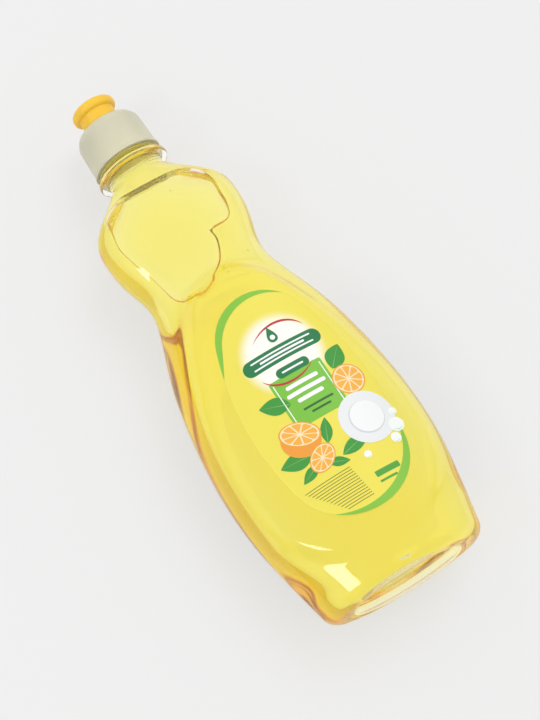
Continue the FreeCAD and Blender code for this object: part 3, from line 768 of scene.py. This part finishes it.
def crescent(across, along, radius, start, end, thick):
    """Outline of a crescent on the outside of a circle, between two angles in degrees."""
    angles = [math.radians(start + (end - start) * i / 40) for i in range(41)]
    reaches = [radius + thick * math.sin(math.pi * i / 40) for i in range(41)]
    outer = [(across + reach * math.cos(a), along + reach * math.sin(a)) for reach, a in zip(reaches, angles)]
    inner = [(across + radius * math.cos(a), along + radius * math.sin(a)) for a in reversed(angles[1:-1])]
    return outer + inner


def border(start, end, thick):
    """Outline of a tapered band along the label's edge, between two angles in degrees."""
    angles = [math.radians(start + (end - start) * i / 60) for i in range(61)]
    outer = [label_edge(angle, 0.2) for angle in angles]
    inner = [label_edge(angle, 0.2 + thick * math.sin(math.pi * i / 60)) for i, angle in enumerate(angles)]
    return outer + inner[-2:0:-1]


def laid(points, across, along, squash=1.0, turn=0.0):
    """Outline points flattened, turned by degrees and moved to a place."""
    c, s = math.cos(math.radians(turn)), math.sin(math.radians(turn))
    return [(across + x * c - y * squash * s, along + x * s + y * squash * c) for x, y in points]


def leaf(across, along, length, width, turn):
    """Outline of a leaf with its tip at the end of its length, turned by degrees."""
    shares = [i / 20 for i in range(21)]
    half = [width / 2 * math.sin(math.pi * share) ** 0.85 * (1.15 - 0.35 * share) for share in shares]
    points = [(length * (share - 0.5), h) for share, h in zip(shares, half)]
    points += [(length * (share - 0.5), -h) for share, h in zip(shares[-2:0:-1], half[-2:0:-1])]
    return laid(points, across, along, 1.0, turn)


def vein(across, along, length, width, turn):
    """Outline of a leaf's midrib."""
    points = [(-length * 0.46, 0.16), (-length * 0.46, -0.16), (length * 0.4, -0.03), (length * 0.4, 0.03)]
    return laid(points, across, along, 1.0, turn)


def disc(across, along, radius, squash=1.0, turn=0.0, count=36):
    """Outline of a disc, flattened and turned by degrees."""
    angles = [2 * math.pi * i / count for i in range(count)]
    return laid([(radius * math.cos(a), radius * math.sin(a)) for a in angles], across, along, squash, turn)


def segments(across, along, radius, squash, turn, count=9):
    """Outlines of the segments of a cut fruit."""
    outlines = []
    for piece in range(count):
        start, end = 2 * math.pi * (piece + 0.07) / count, 2 * math.pi * (piece + 0.93) / count
        middle = (start + end) / 2
        points = [(radius * 0.14 * math.cos(middle), radius * 0.14 * math.sin(middle))]
        for i in range(7):
            a = start + (end - start) * i / 6
            reach = radius * (0.93 if i in (0, 6) else 1.0)
            points.append((reach * math.cos(a), reach * math.sin(a)))
        outlines.append(laid(points, across, along, squash, turn))
    return outlines


# Cut fruit: across, along, radius, flattening and turn.
FRUIT = ((-8.7, -145.2, 8.6, 0.6, -28.0), (21.4, -134.6, 6.8, 1.0, 10.0), (-6.2, -158.4, 6.6, 0.72, 34.0))
# Leaves: across, along, length, width and turn.
LEAVES = ((-10.8, -130.0, 13.0, 7.6, 157.0), (22.0, -123.4, 12.0, 8.4, 48.0), (-15.6, -154.2, 14.0, 7.6, 172.0),
          (-13.6, -161.6, 10.0, 4.6, 204.0), (1.2, -149.4, 11.0, 5.0, 66.0), (8.6, -160.0, 15.0, 6.0, 14.0),
          (-1.4, -163.2, 9.0, 4.2, -24.0))
PLATE = (18.6, -152.4)
# Foam bubbles: across, along and radius.
FOAM = ((27.6, -160.6, 3.2), (24.2, -165.6, 2.2), (29.4, -154.8, 1.7), (10.0, -166.6, 1.6))

# Printed fields of the label: name, colour, layer over the film and outlines.
PRINTS = (
    ("border", "86C440", 1, (border(71.0, 133.0, 3.3), border(-111.0, -42.0, 3.6))),
    ("emblem_arcs", "C42B33", 3, [laid(crescent(0.0, 0.0, 15.6, start, start + 102.0, 1.2),
                                       4.4, -111.6, 0.76, 18.0) for start in (10.0, 190.0)]),
    ("panel", "7DC242", 1, (bar(3.9, -132.2, 24.4, 22.8, 0.8),)),
    ("panel_edges", "F4FAEC", 2, (bar(-7.0, -132.6, 0.45, 20.4, 0.2), bar(14.8, -132.6, 0.45, 20.4, 0.2))),
    ("leaves", "3E983C", 2, [leaf(*sprig) for sprig in LEAVES]),
    ("veins", "86C25E", 3, [vein(*sprig) for sprig in LEAVES]),
    ("fruit_body", "F3A03A", 3, (disc(-9.6, -147.6, 8.3, 0.86, -28.0),)),
    ("rind", "F2A63C", 4, [disc(*fruit) for fruit in FRUIT]),
    ("pith", "FBE7BC", 5, [disc(x, y, radius * 0.92, squash, turn) for x, y, radius, squash, turn in FRUIT]),
    ("flesh", "F8B445", 6, [outline for x, y, radius, squash, turn in FRUIT
                            for outline in segments(x, y, radius * 0.84, squash, turn)]),
    ("plate", "ECEEEF", 7, (disc(*PLATE, 11.6, count=60),)),
    ("plate_well", "D3D8DB", 8, (disc(*PLATE, 7.4, count=48),)),
    ("plate_middle", "F5F6F6", 9, (disc(PLATE[0] + 0.25, PLATE[1] + 0.25, 7.0, count=48),)),
    ("foam", "F7FBF7", 9, [disc(*bubble, count=40) for bubble in FOAM]),
    ("foam_shade", "C9E3CF", 10, [crescent(x, y, radius * 0.66, 200.0, 330.0, radius * 0.16)
                                  for x, y, radius in FOAM]),
    ("emblem", "1F7A45", 4, (bar(4.2, -111.4, 36.0, 6.8, 3.3), bar(4.2, -119.4, 15.0, 4.2, 2.0),
                             drop(4.2, -102.6, 7.4, 4.6))),
    ("emblem_lines", "FFFFFF", 5, (bar(4.2, -109.8, 28.0, 0.7, 0.3), bar(4.2, -113.0, 28.0, 0.7, 0.3),
                                   bar(4.2, -111.4, 21.0, 0.9, 0.4), bar(4.2, -119.4, 10.0, 0.8, 0.35),
                                   disc(4.2, -104.1, 1.1, count=24))),
    ("panel_bars", "FFFFFF", 4, (bar(4.2, -126.4, 15.0, 1.7, 0.8), bar(4.2, -129.8, 18.0, 1.7, 0.8),
                                 bar(4.2, -133.2, 12.0, 1.7, 0.8))),
    ("panel_notes", "2F6B2A", 4, (bar(5.2, -137.4, 14.0, 0.9, 0.4), bar(5.2, -139.8, 9.0, 0.9, 0.4))),
    ("fine_lines", "6F7A35", 1, [bar(-9.6 + 0.55 * step, -167.4 - 1.2 * step, 21.0 - 0.75 * step, 0.3, 0.14)
                                 for step in range(13)]),
    ("patch", "4FA33A", 1, (bar(13.4, -175.6, 11.0, 2.6, 0.4), bar(12.0, -179.0, 8.0, 1.0, 0.4))),
)
INK_LAYER = 0.03
# The strips of a printed field are a millimetre wide and start this far off the whole ones.
STRIP_START = 0.37


def printed_field(name, outlines, layer):
    """Thin fields of ink: outlines filled, cut into narrow strips and laid over the film's curve."""
    bm = bmesh.new()
    for outline in outlines:
        bm.faces.new([bm.verts.new((x, y, 0.0)) for x, y in outline])
    low, high = min(v.co.x for v in bm.verts), max(v.co.x for v in bm.verts)
    for cut in range(math.ceil(low), math.ceil(high)):
        bmesh.ops.bisect_plane(bm, geom=bm.verts[:] + bm.edges[:] + bm.faces[:], dist=1e-4,
                               plane_co=(cut + STRIP_START, 0.0, 0.0), plane_no=(1.0, 0.0, 0.0))
    bmesh.ops.recalc_face_normals(bm, faces=bm.faces)
    if bm.faces[0].normal.z < 0:
        bmesh.ops.reverse_faces(bm, faces=bm.faces)
    sheet_faces = bm.faces[:]
    made = bmesh.ops.extrude_face_region(bm, geom=sheet_faces, use_keep_orig=True)
    for item in made["geom"]:
        if isinstance(item, bmesh.types.BMVert):
            item.co.z = 1.0
    bmesh.ops.reverse_faces(bm, faces=sheet_faces)
    bmesh.ops.recalc_face_normals(bm, faces=bm.faces)
    for vertex in bm.verts:
        level = LABEL_FILM + INK_LAYER * (layer if vertex.co.z > 0.5 else -0.5)
        vertex.co = place(*label_point(vertex.co.x, vertex.co.y, level))
    piece = smooth_piece(name, bm)
    piece.data.set_sharp_from_angle(angle=math.radians(30.0))
    return piece


class OBJECT_OT_soap_bottle_print(bpy.types.Operator):
    """Lay the printed fields on the label"""
    bl_idname = "object.soap_bottle_print"
    bl_label = "Label print"

    def execute(self, context):
        for name, colour, layer, outlines in PRINTS:
            piece = printed_field("print_" + name, outlines, layer)
            dress(piece, "bottle", ink(name, colour))
        return {"FINISHED"}


def turned_piece(name, profile, columns):
    """A turned piece: its closed half profile in millimetres spun about the neck axis."""
    bm = bmesh.new()
    corners = [bm.verts.new(place(radius, along, 0)) for radius, along in profile]
    edges = [bm.edges.new((corners[i], corners[(i + 1) % len(corners)])) for i in range(len(corners))]
    bmesh.ops.spin(bm, geom=corners + edges, cent=place(0, 0, 0), axis=(0, 1, 0), angle=2 * math.pi,
                   steps=columns, use_merge=True)
    bmesh.ops.remove_doubles(bm, verts=bm.verts, dist=1e-6)
    bmesh.ops.recalc_face_normals(bm, faces=bm.faces)
    return smooth_piece(name, bm)


def cap_profile():
    """Half profile of the screw cap: skirt, dome, tower and hollow."""
    rim = [(14.0, 5.7), (14.2, 5.4)] + arc_points(15.4, 5.8, 0.4, -90, 0) + arc_points(15.4, 6.3, 0.4, 0, 60)
    skirt = [(15.42, 6.85), (15.35, 7.1)]
    skirt += [(15.35 - 0.4 * share, 7.1 + 13.1 * share) for share in (0.25, 0.5, 0.75)]
    dome = arc_points(8.95, 20.2, 6.0, 0, 90, 12)
    tower = [(7.4, 26.2)] + arc_points(6.0, 26.6, 0.4, -90, -180, 3)
    tower += [(5.6, 34.0), (6.1, 34.5), (5.6, 35.0), (4.1, 35.0), (3.9, 34.8), (3.9, 24.9)]
    hollow = [(8.6, 24.9), (9.4, 24.1), (9.4, 22.0), (14.0, 22.0)]
    return rim + skirt + dome + tower + hollow


class OBJECT_OT_soap_bottle_cap(bpy.types.Operator):
    """Build the frosted screw cap with its skirt, dome and spout tower, without the pin and its spokes"""
    bl_idname = "object.soap_bottle_cap"
    bl_label = "Screw cap"

    def execute(self, context):
        piece = turned_piece("cap_shell", cap_profile(), 128)
        dress(piece, "cap", frosted_pp(), ["screw_cap"])
        return {"FINISHED"}


def knob_profile():
    """Half profile of the pull knob: foot, stem, flange, hole and bore."""
    stem = [(5.95, 26.5), (7.8, 26.5), (8.0, 26.7), (8.0, 29.4), (8.0, 32.0)]
    flange = arc_points(8.15, 34.2, 1.95, -90, 0, 8) + arc_points(8.1, 34.9, 2.0, 0, 90, 8)
    hole = [(5.0, 36.9)] + arc_points(2.45, 36.5, 0.4, 90, 180, 3)
    bore = [(2.05, 35.15), (6.25, 35.15), (6.25, 27.4), (5.75, 27.4), (5.75, 26.7)]
    return stem + flange + hole + bore


class OBJECT_OT_soap_bottle_knob(bpy.types.Operator):
    """Build the orange pull knob"""
    bl_idname = "object.soap_bottle_knob"
    bl_label = "Pull knob"

    def execute(self, context):
        piece = turned_piece("knob_shell", knob_profile(), 96)
        dress(piece, "knob", orange_pe(), ["pull_knob"])
        return {"FINISHED"}


class OBJECT_OT_soap_bottle_liner(bpy.types.Operator):
    """Give the sealing liner its foam"""
    bl_idname = "object.soap_bottle_liner"
    bl_label = "Liner"

    def execute(self, context):
        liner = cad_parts["sealing_liner"]
        liner.data.materials.clear()
        liner.data.materials.append(white_foam())
        return {"FINISHED"}


# Camera fitted to the photograph: focal length in pixels of its 540 by 720 frame,
# bearing and height of the view, distance, and the point looked at from the ring.
FOCAL_PIXELS = 2400.0
PHOTO_HEIGHT = 720.0
SENSOR = 36.0
VIEW_BEARING = math.radians(-32.03)
VIEW_HEIGHT = math.radians(68.4)
VIEW_DISTANCE = 995.4
VIEW_TARGET = (3.37, -103.6, 0.0)
# Strength of the world as light, and as it is seen, reflected and refracted.
WORLD_LIGHT = 0.72
WORLD_SEEN = 0.95
# Brightness of the studio at the horizon, as a share of that overhead, and the sine of
# the height at which it is full.
HORIZON = 0.5
HORIZON_END = 0.55
# The floor as clear matter shows it: how bright, and the share without the shadow.
FLOOR_SEEN = 1.0
FLOOR_SEEN_SHARE = 0.9
# The same for the floor as the camera sees it.
FLOOR_SHOWN = 0.863
FLOOR_SHOWN_SHARE = 0.68
# Soft lamps: name, place and size in metres, power in watts and whether mirrors show it.
LAMPS = (
    ("key", (1.5, 0.9, 2.5), 1.5, 26.0, False),
    ("fill", (-1.5, -1.2, 2.2), 1.8, 4.0, False),
    ("window", (-1.02, -0.02, 1.1), 0.34, 3.2, True),
)
# How often light may bounce off or through the clear walls, and pass them as shadow.
BOUNCES = 64
SHADOW_BOUNCES = 24


class OBJECT_OT_soap_bottle_stage(bpy.types.Operator):
    """Build the floor, the soft lights and the camera"""
    bl_idname = "object.soap_bottle_stage"
    bl_label = "Stage"

    def execute(self, context):
        scene = context.scene
        scene.view_settings.view_transform = "Standard"
        mesh = bpy.data.meshes.new("floor")
        bm = bmesh.new()
        bmesh.ops.create_grid(bm, x_segments=1, y_segments=1, size=6.0)
        bm.to_mesh(mesh)
        bm.free()
        floor = link("floor", mesh)
        material, tree, output = new_material("pale_floor")
        shader = principled(tree, Base_Color=scene.soap_bottle_colours.floor, Roughness=0.9)
        shader.inputs["Specular IOR Level"].default_value = 0.1
        path = tree.nodes.new("ShaderNodeLightPath")
        shown = shader
        for ray, strength, part in (("Is Transmission Ray", FLOOR_SEEN, FLOOR_SEEN_SHARE),
                                    ("Is Camera Ray", FLOOR_SHOWN, FLOOR_SHOWN_SHARE)):
            share = node(tree, "ShaderNodeMath", links=[(0, path.outputs[ray])], operation="MULTIPLY")
            share.inputs[1].default_value = part
            glow = node(tree, "ShaderNodeEmission", Color=(1.0, 1.0, 1.0, 1.0), Strength=strength)
            shown = node(tree, "ShaderNodeMixShader", links=[(0, share.outputs[0]), (1, shown.outputs[0]),
                                                             (2, glow.outputs[0])])
        tree.links.new(shown.outputs[0], output.inputs["Surface"])
        mesh.materials.append(material)

        world = bpy.data.worlds.new("studio")
        scene.world = world
        world.use_nodes = True
        tree = world.node_tree
        path = tree.nodes.new("ShaderNodeLightPath")
        seen = node(tree, "ShaderNodeMath", operation="MAXIMUM",
                    links=[(0, path.outputs["Is Camera Ray"]), (1, path.outputs["Is Glossy Ray"])])
        seen = node(tree, "ShaderNodeMath", operation="MAXIMUM",
                    links=[(0, seen.outputs[0]), (1, path.outputs["Is Transmission Ray"])])
        strength = node(tree, "ShaderNodeMapRange", links=[("Value", seen.outputs[0])],
                        To_Min=WORLD_LIGHT, To_Max=WORLD_SEEN)
        where = tree.nodes.new("ShaderNodeTexCoord")
        split = node(tree, "ShaderNodeSeparateXYZ", links=[("Vector", where.outputs["Generated"])])
        dusk = node(tree, "ShaderNodeMapRange", links=[("Value", split.outputs["Z"])],
                    From_Min=0.0, From_Max=HORIZON_END, To_Min=HORIZON, To_Max=1.0)
        background = tree.nodes["Background"]
        tree.links.new(dusk.outputs["Result"], background.inputs["Color"])
        tree.links.new(strength.outputs["Result"], background.inputs["Strength"])

        for name, spot, size, watts, mirrored in LAMPS:
            lamp = self.lamp(name, spot, size, watts)
            lamp.visible_glossy = mirrored
            lamp.visible_transmission = False

        scene.cycles.max_bounces = BOUNCES
        scene.cycles.transmission_bounces = BOUNCES
        scene.cycles.glossy_bounces = BOUNCES
        scene.cycles.transparent_max_bounces = SHADOW_BOUNCES

        back = Vector((math.sin(VIEW_BEARING) * math.cos(VIEW_HEIGHT),
                       -math.cos(VIEW_BEARING) * math.cos(VIEW_HEIGHT), math.sin(VIEW_HEIGHT)))
        right = Vector((math.cos(VIEW_BEARING), math.sin(VIEW_BEARING), 0.0))
        camera_data = bpy.data.cameras.new("camera")
        camera_data.sensor_width = SENSOR
        camera_data.lens = FOCAL_PIXELS / PHOTO_HEIGHT * SENSOR
        camera_data.clip_end = 20.0
        camera = bpy.data.objects.new("camera", camera_data)
        turn = Matrix((right, back.cross(right), back)).transposed()
        spot = place(*VIEW_TARGET) + back * VIEW_DISTANCE * MM
        camera.matrix_world = Matrix.Translation(spot) @ turn.to_4x4()
        scene.collection.objects.link(camera)
        scene.camera = camera
        return {"FINISHED"}

    def lamp(self, name, spot, size, watts):
        """A square softbox that faces the bottle."""
        light = bpy.data.lights.new(name, "AREA")
        light.size = size
        light.energy = watts
        lamp = bpy.data.objects.new(name, light)
        lamp.location = spot
        lamp.rotation_euler = (-Vector(spot)).to_track_quat("-Z", "Y").to_euler()
        bpy.context.scene.collection.objects.link(lamp)
        return lamp


STEPS = (
    OBJECT_OT_soap_bottle_body,
    OBJECT_OT_soap_bottle_soap,
    OBJECT_OT_soap_bottle_label,
    OBJECT_OT_soap_bottle_print,
    OBJECT_OT_soap_bottle_cap,
    OBJECT_OT_soap_bottle_knob,
    OBJECT_OT_soap_bottle_liner,
    OBJECT_OT_soap_bottle_stage,
)


class VIEW3D_PT_soap_bottle(bpy.types.Panel):
    """Lists the pieces of the soap bottle"""
    bl_idname = "VIEW3D_PT_soap_bottle"
    bl_label = "Soap bottle"
    bl_space_type = "VIEW_3D"
    bl_region_type = "UI"
    bl_category = "Soap Bottle"

    def draw(self, context):
        for step in STEPS:
            self.layout.operator(step.bl_idname)
        for group in (context.scene.soap_bottle_sizes, context.scene.soap_bottle_colours):
            for name in group.__annotations__:
                self.layout.prop(group, name)


CLASSES = (SoapBottleSizes, SoapBottleColours) + STEPS + (VIEW3D_PT_soap_bottle,)


def register():
    for item in CLASSES:
        bpy.utils.register_class(item)
    bpy.types.Scene.soap_bottle_sizes = PointerProperty(type=SoapBottleSizes)
    bpy.types.Scene.soap_bottle_colours = PointerProperty(type=SoapBottleColours)


def unregister():
    del bpy.types.Scene.soap_bottle_colours
    del bpy.types.Scene.soap_bottle_sizes
    for item in reversed(CLASSES):
        bpy.utils.unregister_class(item)


def main():
    register()
    for step in STEPS:
        getattr(bpy.ops.object, step.bl_idname.split(".")[1])()


if __name__ == "__main__":
    main()
